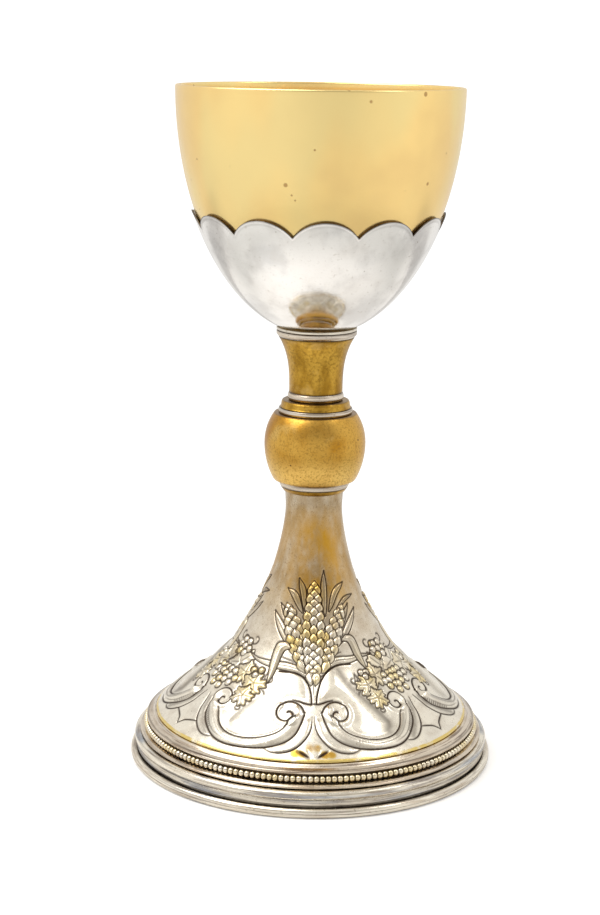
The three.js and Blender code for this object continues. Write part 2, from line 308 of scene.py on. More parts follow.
# painted reflection on the foot's band
BLUE_GREY_REFLECTION = (0.25, 0.31, 0.40)
WARM_TARNISH = (0.46, 0.35, 0.24)
BROWN_TARNISH = (0.40, 0.28, 0.145)
TARNISH_BLOT = (0.30, 0.24, 0.17)
TARNISH_SPECK = (0.22, 0.17, 0.12)
TARNISH_PIT = (0.20, 0.13, 0.07)
DARK_STREAK = (0.17, 0.12, 0.09)
PALE_GILT = (0.76, 0.58, 0.20)
DEEP_GILT = (0.52, 0.27, 0.02)
BRASS = (0.72, 0.50, 0.20)
DULL_BRASS = (0.42, 0.28, 0.12)
ROUND_MARKS = (0.02, 0.02, 1)  # stretches noise into fine rings round the axis
ALONG_RINGS = (0.5, 0.5, 8)  # squeezes noise into long patches round the axis
THIN_RINGS = (0.25, 0.25, 12)  # squeezes noise into broken lines round the axis


def gilt_bright(n):
    """The cup's gilding: bright and satin, thinly clouded, with a few dark specks."""
    cloud = n.ramp(n.noise(38), 0.35, 0.7)
    band = n.ramp(n.noise(20, (1, 1, 0.35), detail=1), 0.42, 0.66, 0, 0.7)
    large = n.times(n.specks(9, 1.0, 0.35), 0.75)
    small = n.times(n.specks(4, 0.45, 0.25), 0.75)
    colour = n.layered(GOLD, (cloud, DULL_GOLD), (band, PALE_GOLD), (large, GOLD_SPECK),
                       (small, GOLD_SPECK), (n.attribute("tone"), DARK_TONE_AND_SHADE))
    marks = n.noise(0.5, ROUND_MARKS, detail=2)
    roughness = n.ramp(n.noise(5), 0.2, 0.8, 0.20, 0.27)
    n.metal(colour, roughness, marks, 0.002)


def gilt_aged(n):
    """The stem's gilding: ochre, streaked with brown and mottled with darker spots."""
    streak = n.ramp(n.noise(5.5, (1, 1, 0.4), detail=6), 0.32, 0.74)
    blot = n.ramp(n.noise(0.9, detail=5), 0.42, 0.72, 0, 0.75)
    worn = n.ramp(n.noise(7, detail=4), 0.56, 0.72, 0, 0.5)
    colour = n.layered(OLD_GOLD, (streak, GOLD_STREAK), (blot, GOLD_BLOT), (worn, WORN_GOLD),
                       (n.attribute("tone"), DARK_TONE_AND_SHADE))
    grain = n.noise(0.6, detail=3)
    n.metal(colour, n.ramp(grain, 0.2, 0.8, 0.24, 0.40), grain, 0.02)


def gilt_worn_and_highlit(n):
    """The knop's gilding: ochre with a fine grain, browner in soft patches, and a painted highlight
    that makes its lower half paler.
    """
    patch = n.ramp(n.noise(16, detail=4), 0.42, 0.66)
    pale = n.ramp(n.noise(9, detail=5), 0.55, 0.75, 0, 0.5)
    low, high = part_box("knop")
    height = n.node("ShaderNodeSeparateXYZ", {0: n.place()}).outputs[2]
    # painted highlight: paler from the middle down towards the bottom
    highlight_below = n.ramp(height, (low[2] + high[2]) / 2, 0.8 * low[2] + 0.2 * high[2], 0, 0.6)
    grain = n.noise(0.7, detail=3)
    colour = n.layered(
        KNOP_GOLD,
        (patch, KNOP_BROWN),
        (pale, KNOP_PALE),
        (highlight_below, KNOP_HIGHLIGHT),
        (n.ramp(grain, 0.45, 0.68, 0, 0.55), KNOP_GRAIN),
        (n.specks(3, 0.4, 0.25), KNOP_PIT),
        (n.attribute("tone"), DARK_TONE_AND_SHADE),
    )
    n.metal(colour, n.ramp(grain, 0.2, 0.8, 0.26, 0.38), grain, 0.025)


def silver_finish(n, base, warm, grey, gloss=0.14, flow=(1, 1, 2), cloud_colour=GREY_TARNISH,
                  streaks=0.0):
    """Silver with warm tarnish and grey clouds of these strengths, toned, shaded and gilt by
    attributes; the grey clouds are tarnish, and on the foot's band a painted blue-grey reflection.
    """
    film, tone = n.attribute("film"), n.attribute("tone")
    cover = n.ramp(n.noise(3.5, (1, 1, 0.5), detail=6), 0.25, 0.7, 0.6, 1)
    pits = n.ramp(n.noise(0.7, detail=4), 0.55, 0.70, 0, 0.6)
    wash = n.ramp(n.noise(6, (1, 1, 0.4), detail=5), 0.32, 0.64, 0.12, 1)
    colour = n.layered(
        base,
        (n.ramp(n.noise(14, flow, detail=4), 0.45, 0.66, 0, grey), cloud_colour),
        (n.ramp(n.noise(7, flow, detail=5), 0.42, 0.72, 0, warm), WARM_TARNISH),
        (n.ramp(n.noise(0.9, detail=3), 0.62, 0.70, 0, 0.25 + 0.4 * warm), TARNISH_BLOT),
        (n.times(n.specks(4, 0.3, 0.4), 0.7), TARNISH_SPECK),
        (n.ramp(n.noise(4, THIN_RINGS, detail=5), 0.52, 0.66, 0, streaks), DARK_STREAK),
        (n.times(film, cover), BROWN_TARNISH),
        (n.times(film, pits), TARNISH_PIT),
        (n.times(n.attribute("gilt"), wash), n.mix(film, PALE_GILT, DEEP_GILT)),
        (tone, DARK_TONE_AND_SHADE),
    )
    scratch = n.noise(0.3, ROUND_MARKS, detail=2)
    polish = n.ramp(n.noise(1.6), 0.25, 0.75, gloss, gloss + 0.12)
    roughness = n.math("MULTIPLY_ADD", tone, 0.3, polish)
    n.metal(colour, roughness, scratch, 0.003)


def silver_polished(n):
    """The calyx: bright, with soft grey clouds."""
    silver_finish(n, SILVER, warm=0.10, grey=0.30, gloss=0.06, flow=(1, 1, 1))


def silver_rings(n):
    """The foot's band: warm silver under patches of painted blue-grey reflection."""
    silver_finish(n, OLD_SILVER, warm=0.6, grey=0.9, gloss=0.10, flow=ALONG_RINGS,
                  cloud_colour=BLUE_GREY_REFLECTION, streaks=0.55)


def silver_wire(n):
    """The base ring, the beads and the seat disc: warm silver with dark streaks."""
    silver_finish(n, OLD_SILVER, warm=0.6, grey=0.25, gloss=0.10, flow=ALONG_RINGS, streaks=0.5)


def silver_chased(n):
    """The foot: satin, thinly tarnished silver."""
    silver_finish(n, OLD_SILVER, warm=0.30, grey=0.16, gloss=0.17)


def silver_tarnished(n):
    """The small rings and the beaded moulding: brown, streaked silver."""
    silver_finish(n, BROWNED_SILVER, warm=0.9, grey=0.4, flow=ALONG_RINGS, streaks=0.8)


def brass_turned(n):
    """The hidden fittings: plain brass with lathe rings and dull patches."""
    dull = n.ramp(n.noise(4, detail=4), 0.35, 0.7)
    marks = n.noise(0.25, ROUND_MARKS, detail=2)
    n.metal(n.mix(dull, BRASS, DULL_BRASS), n.ramp(dull, 0, 1, 0.28, 0.45), marks, 0.02)


# ---- Cup and calyx ----

CUP_RADIUS, CUP_BOTTOM, CUP_TOP = extent("cup")
CALYX_BOTTOM, CALYX_CREST = extent("calyx")[1:]
BOWL_DEPTH = 84.8  # the bowl is half an ellipsoid, this deep
CUP_WALL = 1.0
CALYX_SKIN = 0.5
CALYX_STAND_OFF = 0.35  # between the calyx and the bowl
SCALLOPS = 12
SCALLOP_DIP = 5.4  # from a scallop's crest down to where two meet
CALYX_TURN = 3.0
CALYX_SMUDGES = (  # dull places: angle, half width, height, half height and strength
    (-54, 11, 184, 8, 0.20),
    (-28, 9, 190, 2.5, 0.10),
    (48, 9, 187, 5, 0.18),
    (150, 20, 184, 8, 0.15),
)


def bowl_radius(height, grow=0.0):
    """Radius at a height of the bowl's ellipsoid, grown by this much all over."""
    drop = (CUP_TOP - height) / (BOWL_DEPTH + grow)
    return (CUP_RADIUS + grow) * np.sqrt(np.clip(1 - drop**2, 0, 1))


def bowl_heights(grow, bottom, top, count):
    """Heights evenly spaced along the bowl's curve."""
    start = math.acos(min(1.0, (CUP_TOP - bottom) / (BOWL_DEPTH + grow)))
    end = math.acos((CUP_TOP - top) / (BOWL_DEPTH + grow))
    return CUP_TOP - (BOWL_DEPTH + grow) * np.cos(np.linspace(start, end, count))


def weld(piece):
    """Joins the points that meet on the axis."""
    touching = 1e-7  # metres
    work = bmesh.new()
    work.from_mesh(piece.data)
    bmesh.ops.remove_doubles(work, verts=work.verts, dist=touching)
    work.to_mesh(piece.data)
    work.free()


def cup():
    """The gilt bowl: a thin shell, flat below, with a rounded lip."""
    lip_height = 0.7
    outside = bowl_heights(0, CUP_BOTTOM, CUP_TOP - lip_height, 70)
    inside = bowl_heights(-CUP_WALL, CUP_BOTTOM + CUP_WALL, CUP_TOP - lip_height, 70)[::-1]
    over = np.radians(np.linspace(0, 180, 7)[1:-1])
    lip = np.column_stack([
        CUP_RADIUS - CUP_WALL / 2 + CUP_WALL / 2 * np.cos(over),
        CUP_TOP - lip_height + lip_height * np.sin(over),
    ])
    profile = np.vstack([
        [(0, CUP_BOTTOM)],
        np.column_stack([bowl_radius(outside), outside]),
        lip,
        np.column_stack([bowl_radius(inside, -CUP_WALL), inside]),
        [(0, CUP_BOTTOM + CUP_WALL)],
    ])
    points = placed(profile[:, :1], circle(256), profile[:, 1:])
    weld(grid_piece("cup_bowl", points, "cup", bright, close_rows=False))


def scallop_edge(angle):
    """Height of the calyx's edge at angles in degrees from the front."""
    pitch = 360 / SCALLOPS
    turned = angle - CALYX_TURN
    offset = turned - pitch * np.round(turned / pitch)
    half_width = math.radians(pitch / 2) * bowl_radius(CALYX_CREST)
    bend = (half_width**2 + SCALLOP_DIP**2) / (2 * SCALLOP_DIP)
    across = half_width * offset / (pitch / 2)
    return CALYX_CREST - bend + np.sqrt(bend**2 - across**2)


def calyx():
    """The silver sleeve: a thin skin whose scalloped edge stands up as a small raised rim."""
    columns = SCALLOPS * 64
    fan = 40.0  # the rows bend from level to the scallops over this height
    angle = np.arange(columns) * 360 / columns
    edge = scallop_edge(angle)
    skin = CALYX_STAND_OFF + CALYX_SKIN

    def wall(grow, count, rim):
        """Rows of points up one face, fanned out below the edge."""
        level = bowl_heights(grow, CALYX_BOTTOM + 0.3, CALYX_CREST, count)[:, None]
        share = np.clip((level - CALYX_CREST + fan) / fan, 0, 1)
        level = level + share * (edge - CALYX_CREST)
        below = edge - level
        raised = grow + rim * np.exp(-((below / 0.7) ** 2))
        return bowl_radius(level, grow) + raised - grow, level, below

    outer = wall(skin, 90, 0.18)
    inner = [part[::-1] for part in wall(CALYX_STAND_OFF, 40, 0.0)]
    radius = np.vstack([outer[0], inner[0]])
    height = np.vstack([outer[1], inner[1]])
    below = np.vstack([outer[2], inner[2]])
    points = placed(radius, np.radians(angle), height)
    # painted shadow: a dark line on the edge for the shade in the gap to the bowl; and a faint dark
    # line under the rim
    tone = 0.9 * np.exp(-((below / 0.12) ** 2)) + 0.25 * np.exp(-(((below - 1.3) / 0.25) ** 2))
    for turn, wide, level, tall, strength in CALYX_SMUDGES:
        aside = (angle - turn + 180) % 360 - 180
        tone += strength * np.exp(-((aside / wide) ** 2) - ((height - level) / tall) ** 2)
    grid_piece("calyx_sleeve", points, "calyx", polished, tone=tone)


# ---- Stem and knop ----


def bulged(inner, outer, bottom, top, bulge):
    """A ring outline whose outer edge is a shallow arc."""
    t = np.linspace(-1, 1, 7)
    edge = np.column_stack([outer - bulge * t**2, (bottom + top) / 2 + (top - bottom) / 2 * t])
    return [(inner, bottom), *edge, (inner, top)]


ROD_HOLE, SEAT_HOLE = 5.2, 7.3  # radii, here and below
STEM_BORE, STEM_BORE_FLOOR = 9.0, 141.0  # the wider hole that takes the boss under the bowl
THREAD_PITCH = 1.25


def bulged_rings():
    """The plain silver rings: under the bowl, and three between stem, knop and foot."""
    for name, node, finish, hole, bulge, bend in (
        ("seat_disc", "seat_ring", wire, SEAT_HOLE, 0.3, 0.2),
        ("stem_foot_ring", "stem_bottom_ring", tarnished, ROD_HOLE, 0.5, 0.1),
        ("knop_fillet", "knop_top_fillet", tarnished, ROD_HOLE, 0.3, 0.1),
        ("knop_ring", "knop_bottom_ring", tarnished, ROD_HOLE, 0.4, 0.1),
    ):
        outline = bulged(hole, *extent(node), bulge)
        turned_piece(name, outline, node, finish, bend=bend)


def stem_mouth_ring():
    """The silver ring at the stem's mouth, bevelled below."""
    radius, bottom, top = extent("stem_top_ring")
    outline = [(STEM_BORE, bottom), (radius - 0.8, bottom), (radius, bottom + 0.9), (radius, top),
               (STEM_BORE, top)]
    turned_piece("stem_mouth_ring", outline, "stem_top_ring", tarnished, bend=0.25)


def knop_collar():
    """The gilt collar over the knop, which narrows upwards in a shallow curve."""
    radius, bottom, top = extent("knop_top_collar")
    outline = [
        (ROD_HOLE, bottom), (radius, bottom), (radius - 0.4, bottom + 0.6),
        (radius - 0.6, top - 0.6), (radius - 1.0, top), (ROD_HOLE, top),
    ]
    turned_piece("knop_collar", outline, "knop_top_collar", aged, bend=0.3)


def neck_collar():
    """The gilt collar on the foot's neck, a cone that is narrower below."""
    radius, bottom, top = extent("knop_base_collar")
    outline = [(ROD_HOLE, bottom), (radius - 1.1, bottom), (radius, top), (ROD_HOLE, top)]
    turned_piece("neck_collar", outline, "knop_base_collar", aged, bend=0.25)


def stem():
    """The trumpet-shaped stem, with a wider bore above for the boss."""
    radius, bottom, top = extent("stem")
    waist = radius - 3.9
    t = np.linspace(0, 1, 25)
    side = np.column_stack([waist + (radius - waist) * t**3, bottom + (top - bottom) * t])
    outline = [(ROD_HOLE, bottom), *side, (STEM_BORE, top), (STEM_BORE, STEM_BORE_FLOOR),
               (ROD_HOLE, STEM_BORE_FLOOR)]
    turned_piece("stem_trumpet", outline, "stem", aged, bend=0.1)


def knop():
    """The hollow knop: a barrel whose belly is an ellipse, flatter above than below."""
    radius, bottom, top = extent("knop")
    foot_round, wall = 1.0, 1.2
    upper, lower = 18.4, 22.5  # half heights of the ellipse above and below its middle
    middle = (bottom + top) / 2 + 1.25

    def side(height, inset):
        rise = height - middle
        half_height = np.where(rise > 0, upper, lower)
        return np.column_stack([(radius - inset) * np.sqrt(1 - (rise / half_height) ** 2), height])

    outer = side(np.linspace(bottom + foot_round, top, 40), 0)
    inner = side(np.linspace(top - wall, bottom + wall, 20), wall)
    outline = [
        (ROD_HOLE, bottom), (outer[0, 0] - 0.6, bottom), *outer, (ROD_HOLE, top),
        (ROD_HOLE, top - wall), *inner, (ROD_HOLE, bottom + wall),
    ]
    turned_piece("knop_barrel", outline, "knop", worn, bend=0.9)


# ---- Foot: mouldings and beads ----

MOULDING_BORE, BASE_BORE = 55.0, 58.0


def foot_ring(name, outline, node, finish, bands, bend=0.2):
    """A large ring, finely divided, with dark bands (middle height, half width, strength): painted
    shade in the gaps and hollows where rings meet, and some fine dark lines.
    """

    def tone(height):
        shade = [level * np.exp(-(((height - at) / half) ** 4)) for at, half, level in bands]
        return np.max(shade, axis=0)

    turned_piece(name, outline, node, finish, sides=320, step=0.3, bend=bend, tone=tone)


def beaded_moulding():
    """The ring with the channel that the beads lie in."""
    radius, bottom, top = extent("foot_moulding")
    wall = radius - 3.7
    outline = [
        (MOULDING_BORE, bottom), (radius - 0.5, bottom), (radius, bottom + 0.3),
        (radius, bottom + 0.8), (radius - 0.9, bottom + 1.3),
        (wall + 1.0, bottom + 1.5), (wall, bottom + 1.6),
        (wall, top - 2.9), (radius - 2.3, top - 2.5), (radius - 2.3, top - 1.7),
        (radius - 4.2, top - 1.0), (radius - 5.2, top), (MOULDING_BORE, top),
    ]
    # dark bands: painted shade in the gap at its foot and in the channel behind the beads, and two
    # thin dark lines near its top
    bands = ((bottom, 0.25, 0.5), (bottom + 2.8, 1.3, 0.5), (top - 2.6, 0.12, 0.5),
             (top - 1.5, 0.12, 0.5))
    foot_ring("beaded_moulding", outline, "foot_moulding", tarnished, bands)


def torus_band():
    """The half-round over an upright band."""
    radius, bottom, top = extent("foot_band")
    upright, bend = radius - 0.6, 1.6
    half_round = arc(radius - bend, bottom + 3.4, bend, -60, 85, 14)
    outline = [(BASE_BORE, bottom), (upright, bottom), (upright, bottom + 1.9), *half_round,
               (BASE_BORE, top)]
    # dark bands: painted shade in the gaps at its foot and at its top, the upright darkened as part
    # of the painted blue-grey reflection, and a thin dark line
    bands = ((bottom, 0.35, 0.95), (bottom + 1.5, 0.9, 0.3), (bottom + 3.0, 0.12, 0.4),
             (top - 0.5, 0.15, 0.3))
    foot_ring("foot_torus_band", outline, "foot_band", ringed, bands, bend=0.1)


def base_wire():
    """The ring that stands: two round edges with a fine line between, and a step above."""
    radius, bottom, top = extent("base_ring")
    bore, step = BASE_BORE + 0.5, radius - 2.9
    bend, line = 1.4, 1.75
    outline = [
        (bore, bottom), (radius - bend, bottom),
        *arc(radius - bend, bend, bend, -80, 0, 7),
        (radius, 1.6), (radius - 0.12, line), (radius, 1.9),
        *arc(radius - bend, 2.0, bend, 0, 90, 8),
        (step, 3.4), (step, top), (bore, top),
    ]
    # dark bands: the fine line, and painted shade where the ring stands on the floor and at its top
    # under the band
    bands = ((line, 0.12, 0.5), (bottom, 0.25, 0.7), (top, 0.45, 0.95))
    foot_ring("base_wire", outline, "base_ring", wire, bands, bend=0.06)


def beads():
    """A wire strung with small beads, with painted shade where each one meets the next."""
    outer, bottom, top = extent("bead_wire")
    half_thick, count = 1.15, 187
    ring, middle = outer - half_thick, (bottom + top) / 2
    pitch = 2 * math.pi * ring / count
    lat, lon = np.linspace(0, math.pi, 10), circle(14)
    # each bead is a little wheel whose poles lie along the wire, joined by a thin neck
    thick = np.maximum(np.sin(lat) ** 0.6 - 0.1, 0.3)[:, None] * half_thick / 0.9
    local_x = -np.cos(lat)[:, None] * pitch / 2 * 1.02 + 0 * lon
    local_r, local_z = thick * np.cos(lon), thick * np.sin(lon)
    radius = ring + local_r
    points = np.concatenate([
        np.stack([
            radius * math.sin(turn) + local_x * math.cos(turn),
            -radius * math.cos(turn) + local_x * math.sin(turn),
            middle + local_z,
        ], -1)
        for turn in circle(count)
    ])
    # painted shade between neighbouring beads
    tone = np.tile(np.clip(1.6 - 2.2 * np.sin(lat), 0, 1)[:, None] + 0 * lon, (count, 1))
    gilt = np.full(tone.shape, 0.5)
    # rows run along the wire and columns round it, so their order is turned to face outwards
    grid_piece("bead_string", points[:, ::-1], "bead_wire", wire, tone=tone, gilt=gilt)


# ---- Foot: the panel its ornament is chased on ----

FOOT_RADIUS, FOOT_BOTTOM, FOOT_TOP = extent("foot")
FOOT_SHELL, FOOT_DROP = 1.1, 0.6  # the inside is the outside moved in and down
FOOT_CURVE = [
    (FOOT_RADIUS - 0.1, FOOT_BOTTOM + FOOT_DROP), (43.2, 27), (31, 38.4), (23.2, 49.8),
    (16.5, 63.3), (12.4, 76.6), (10.2, 89), (10.3, FOOT_TOP),
]
PANELS = 3
PANEL_WIDTH = 360 / PANELS
GRID_ANGLE, GRID_STEP = 0.25, 0.25  # degrees round the foot, and millimetres up it
CHASED_LENGTH = 72.0  # measured along the surface from its lower edge


class Panel:
    """Height, toning and gilding of one third of the foot, worked stroke by stroke.

    A place is (angle in degrees from the panel's middle, millimetres up the surface). Lines
    are drawn on the right half when side is 1, and as their mirror image when it is -1.
    """

    def __init__(self):
        curve = smooth_curve(FOOT_CURVE, 0.5)
        steps = np.linalg.norm(np.diff(curve, axis=0), axis=1)
        self.curve = curve
        self.curve_along = np.concatenate([[0], np.cumsum(steps)])
        self.angle = np.arange(-PANEL_WIDTH / 2, PANEL_WIDTH / 2 - 1e-6, GRID_ANGLE)
        self.along = np.arange(0, CHASED_LENGTH, GRID_STEP)
        self.radius = self.radius_at(self.along)
        self.shape = (len(self.along), len(self.angle))
        self.height = np.zeros(self.shape)
        self.tone = np.zeros(self.shape)
        self.gilt = np.zeros(self.shape)
        self.film = np.zeros(self.shape)
        self.side = 1

    def both_sides(self):
        """Turns to the right half, then to the left, and back at the end."""
        for side in (1, -1):
            self.side = side
            yield side
        self.side = 1

    def radius_at(self, along):
        """The foot's radius this far up its surface."""
        return np.interp(along, self.curve_along, self.curve[:, 0])

    def spot(self, across, along):
        """The place this many millimetres to the right of the panel's middle."""
        return math.degrees(across / self.radius_at(along)), along

    def line(self, places):
        """A smooth line through places, as closely spaced places on the side being worked."""
        return smooth_curve(places, 0.25) * (self.side, 1)

    def spiral(self, centre, start, end, start_turn, end_turn):
        """A spiral round a centre whose radius goes from start to end, in millimetres."""
        turn = np.radians(np.linspace(start_turn, end_turn, 60))
        radius = np.linspace(start, end, 60)
        degree = math.radians(1) * self.radius_at(centre[1])
        across = centre[0] + radius * np.cos(turn) / degree
        return list(zip(across, centre[1] + radius * np.sin(turn)))

    def near(self, path, reach):
        """Distance from a path, at most reach, and the share of the path gone by there."""
        path = np.array(path)
        distance = np.full(self.shape, float(reach))
        share = np.zeros(self.shape)
        for turn in (-PANEL_WIDTH, 0, PANEL_WIDTH):
            for first in range(0, len(path) - 1, 12):
                part = path[first:first + 13] + (turn, 0)
                low, high = part.min(0), part.max(0)
                rows = slice(*np.searchsorted(self.along, (low[1] - reach, high[1] + reach)))
                if rows.start == rows.stop:
                    continue
                wide = math.degrees(reach / self.radius[rows].min())
                columns = slice(*np.searchsorted(self.angle, (low[0] - wide, high[0] + wide)))
                if columns.start == columns.stop:
                    continue
                away = np.radians(self.angle[None, columns, None] - part[:, 0])
                away = away * self.radius[rows, None, None]
                gap = np.hypot(away, self.along[rows, None, None] - part[:, 1])
                nearest = gap.argmin(-1)
                gap = gap.min(-1)
                closer = gap < distance[rows, columns]
                distance[rows, columns][closer] = gap[closer]
                share[rows, columns][closer] = (first + nearest[closer]) / (len(path) - 1)
        return distance, share

    def inside(self, outline):
        """Which points of the panel lie inside a closed outline."""
        result = np.zeros(self.shape, bool)
        for turn in (-PANEL_WIDTH, 0, PANEL_WIDTH):
            shifted = np.array(outline) + (turn, 0)
            for (a0, s0), (a1, s1) in zip(shifted, np.roll(shifted, -1, 0)):
                if s0 == s1:
                    continue
                rows = (self.along >= min(s0, s1)) & (self.along < max(s0, s1))
                crossing = a0 + (self.along - s0) * (a1 - a0) / (s1 - s0)
                result ^= rows[:, None] & (self.angle < crossing[:, None])
        return result

    def engrave(self, places, width=0.34, depth=0.25, tone=1.0, taper=0.0):
        """A toned groove; taper thins it towards both ends."""
        distance, share = self.near(self.line(places), 3 * width)
        ends = 1 - taper * (2 * share - 1) ** 2
        groove = ends * np.exp(-((distance / width) ** 2)) * (distance < 3 * width)
        self.height -= depth * groove
        self.tone = np.maximum(self.tone, tone * np.clip(1.5 * groove, 0, 1))

    def swell(self, places, width, rise):
        """A softly raised band along a line."""
        distance, _ = self.near(self.line(places), width)
        self.height += rise * (1 - (distance / width) ** 2) ** 2

    def shade(self, places, width, tone, hatch=0.0):
        """Soft toning along a line, broken up by fine hatching."""
        distance, _ = self.near(self.line(places), 2.5 * width)
        soft = np.exp(-((distance / width) ** 2)) * (distance < 2.5 * width)
        stripes = 0.5 + 0.5 * np.sin(self.angle * 9 + self.along[:, None] * 5)
        soft = soft * (1 - hatch * stripes)
        self.height -= 0.08 * hatch * soft
        self.tone = np.maximum(self.tone, tone * soft)

    def lay(self, depth_in, rise, shoulder, gilt=0.0, line=0.3):
        """Lays a domed shape over what is there; depth_in is the distance in from its edge."""
        cover = np.clip(depth_in / 0.3, 0, 1)
        dome = rise * (1 - (1 - np.clip(depth_in / shoulder, 0, 1)) ** 2)
        rim = np.exp(-((depth_in / line) ** 4))
        self.height += cover * (dome - self.height) - 0.15 * rim
        self.tone = np.maximum(self.tone * (1 - cover), 0.95 * rim)
        self.gilt += cover * (gilt - self.gilt)

    def shape_in(self, outline, reach):
        """Distance in from the edge of a closed outline, negative outside it."""
        outline = self.line([*outline, outline[0]])
        distance, _ = self.near(outline, reach)
        return np.where(self.inside(outline), distance, -distance)

    def blade(self, places, half_width, rise, gilt=0.0, rib=True, belly=0.5, line=0.3):
        """A leaf or a grain along a line, widest at the share belly of it."""
        distance, share = self.near(self.line(places), 2 * half_width + 1)
        bent = np.clip(share, 0.02, 0.98) ** (math.log(0.5) / math.log(belly))
        width = half_width * np.sin(math.pi * bent) ** np.where(bent < 0.5, 0.5, 0.85)
        self.lay(np.where(distance < 2 * half_width, width - distance, -9), rise,
                 half_width * 0.9, gilt, line=line)
        if rib:
            self.engrave(places, 0.3, 0.15, 0.5, taper=1.0)


# ---- Foot: the ornament ----


def scroll_ribbon(panel):
    """The C-scroll ribbon that borders one half of the panel."""
    inner_scroll, outer_scroll = (12, 18.3), (47, 19)
    lower_edge = (
        panel.spiral(inner_scroll, 0.65, 5.7, 80, 540)
        + [(7.8, 10), (14.5, 5.4), (25, 3.0), (36, 3.3), (44, 6.7), (51.1, 12)]
        + panel.spiral(outer_scroll, 4.9, 0.4, 0, 450)
    )
    upper_edge = [(10.8, 14.4), (15, 10.3), (23, 7.3), (32, 6.7), (39.2, 9.2), (45.8, 15.2)]
    middle = [(8.7, 16), (9.5, 13.7), (14.9, 8.7), (23.5, 5.4), (30, 5.0), (37.5, 6.4),
              (45.3, 11.6), (49.4, 15.5)]
    panel.swell(middle, 3.2, 0.8)
    panel.swell(panel.spiral(inner_scroll, 3.6, 4.4, 150, 400), 1.8, 0.5)
    panel.swell(panel.spiral(outer_scroll, 4.0, 3.0, 0, 300), 1.8, 0.5)
    panel.engrave(lower_edge, 0.36, 0.3)
    panel.engrave(upper_edge, 0.36, 0.3, taper=0.3)
    panel.engrave(middle[1:], 0.26, 0.12, 0.6, taper=0.8)
    panel.blade([(8.4, 17.6), (10.0, 15.6), (11.4, 13.6)], 0.9, -0.2, rib=False)


def scroll_hatching(panel):
    """Toning and short cross strokes along the ribbon."""
    panel.shade([(44, 5), (49, 9.2), (53, 13.4), (54.8, 17)], 1.3, 0.85, hatch=0.7)
    panel.shade([(36, 6.6), (41, 9.2), (46.5, 14.4)], 1.0, 0.7, hatch=0.6)
    panel.engrave([(34, 4.2), (41, 6.4), (47, 10.6), (51.4, 15.4)], 0.22, 0.1, 0.6, 0.8)
    for angle in np.arange(18, 28, 1.3):
        panel.engrave([(angle, 6.1), (angle + 0.3, 7.0)], 0.2, 0.08, 0.35)
    for share in np.linspace(0, 1, 12):
        angle, along = 43.5 + 8.5 * share, 7.6 + 7.6 * share
        panel.engrave([(angle, along), (angle + 1.1, along - 0.9)], 0.24, 0.1, 0.8)


def outer_lobes(panel):
    """The lobes under and beside the ribbon, and the fleur's strokes at the lower edge."""
    panel.swell([(2.4, 15), (4.2, 10), (8, 5.8), (13.6, 4)], 2.0, 0.3)
    panel.engrave([(0.5, 17.3), (0.9, 13.3), (2.3, 10), (4.8, 6.7), (6.9, 4.8), (9.8, 3.3),
                   (13.6, 2.6), (16.5, 3.2), (18.6, 4.3)], taper=0.5)
    panel.engrave([(0, 22.2), (3.7, 22.5), (7.4, 23.3), (10.5, 23.7)], 0.4, 0.2, taper=0.4)
    panel.engrave([(58, 18.7), (56.7, 15.7), (55.5, 12.3), (52.5, 8.3), (49.5, 6), (46.2, 4.3),
                   (43.2, 3.7), (40.8, 4.1)], taper=0.4)
    panel.engrave([(51.7, 7.3), (55.5, 6.3), (58, 5.2), (60, 3.0)], taper=0.3)
    panel.engrave([(0.8, 1.2), (3.2, 2.6), (6.2, 4.4)], 0.55, 0.4, taper=1.0)
    panel.engrave([(0.3, 1.4), (1.6, 2.9), (2.6, 4.6)], 0.25, 0.2, 0.5, taper=1.0)


def smooth_field(panel, tone):
    """The plain bulge of metal inside a scroll, with soft toning along its far edge."""
    outline = [(4, 24.5), (5.5, 30), (11, 34.5), (17, 34.5), (22, 29), (29, 23), (34.5, 17),
               (36.5, 11.5), (31, 8.8), (21, 9.5), (17.5, 13), (19, 19.5), (14, 24.6)]
    depth_in = panel.shape_in(outline, 8)
    panel.height += 0.55 * (1 - (1 - np.clip(depth_in / 6, 0, 1)) ** 2)
    panel.shade([(17, 34.2), (22, 29.6), (27, 25.5), (32, 19.5), (36, 12.5), (34, 9.5)], 2.2, tone)


def vine_leaf(panel, centre, size, turn, gilt):
    """A vine leaf of five pointed lobes with engraved veins."""
    degree = math.radians(1) * panel.radius_at(centre[1])
    around = np.linspace(0, 2 * math.pi, 100, endpoint=False)
    lobes = np.abs(np.cos(2.5 * around)) ** 0.7
    reach = size * (0.66 + 0.34 * lobes) * (1 - 0.10 * np.cos(11 * around))
    aim = around + math.radians(turn)
    outline = np.column_stack([centre[0] + reach * np.cos(aim) / degree,
                               centre[1] + reach * np.sin(aim)])
    panel.lay(panel.shape_in(outline, size), 0.6, 0.5 * size, gilt)
    for vein in range(-2, 3):
        direction = math.radians(turn + 72 * vein)
        tip = (centre[0] + 0.8 * size * math.cos(direction) / degree,
               centre[1] + 0.8 * size * math.sin(direction))
        panel.engrave([centre, tip], 0.28, 0.2, 0.6, taper=0.6)


def grape_bunch(panel, centre, rows, berry=1.35):
    """A bunch of round berries; rows gives how many lie side by side, from the top."""
    degree = math.radians(1) * panel.radius_at(centre[1])
    for row, count in enumerate(rows):
        for k in range(count):
            stray = 0.25 * random.standard_normal(2)
            across = (k - (count - 1) / 2) * 1.8 * berry + stray[0]
            place = (panel.side * centre[0] + across / degree,
                     centre[1] - row * 1.55 * berry + stray[1])
            distance, _ = panel.near([place, place], 2 * berry)
            gilt = 0.7 if random.random() < 0.5 else 0.1
            panel.lay(berry - distance, 0.6, berry, gilt)


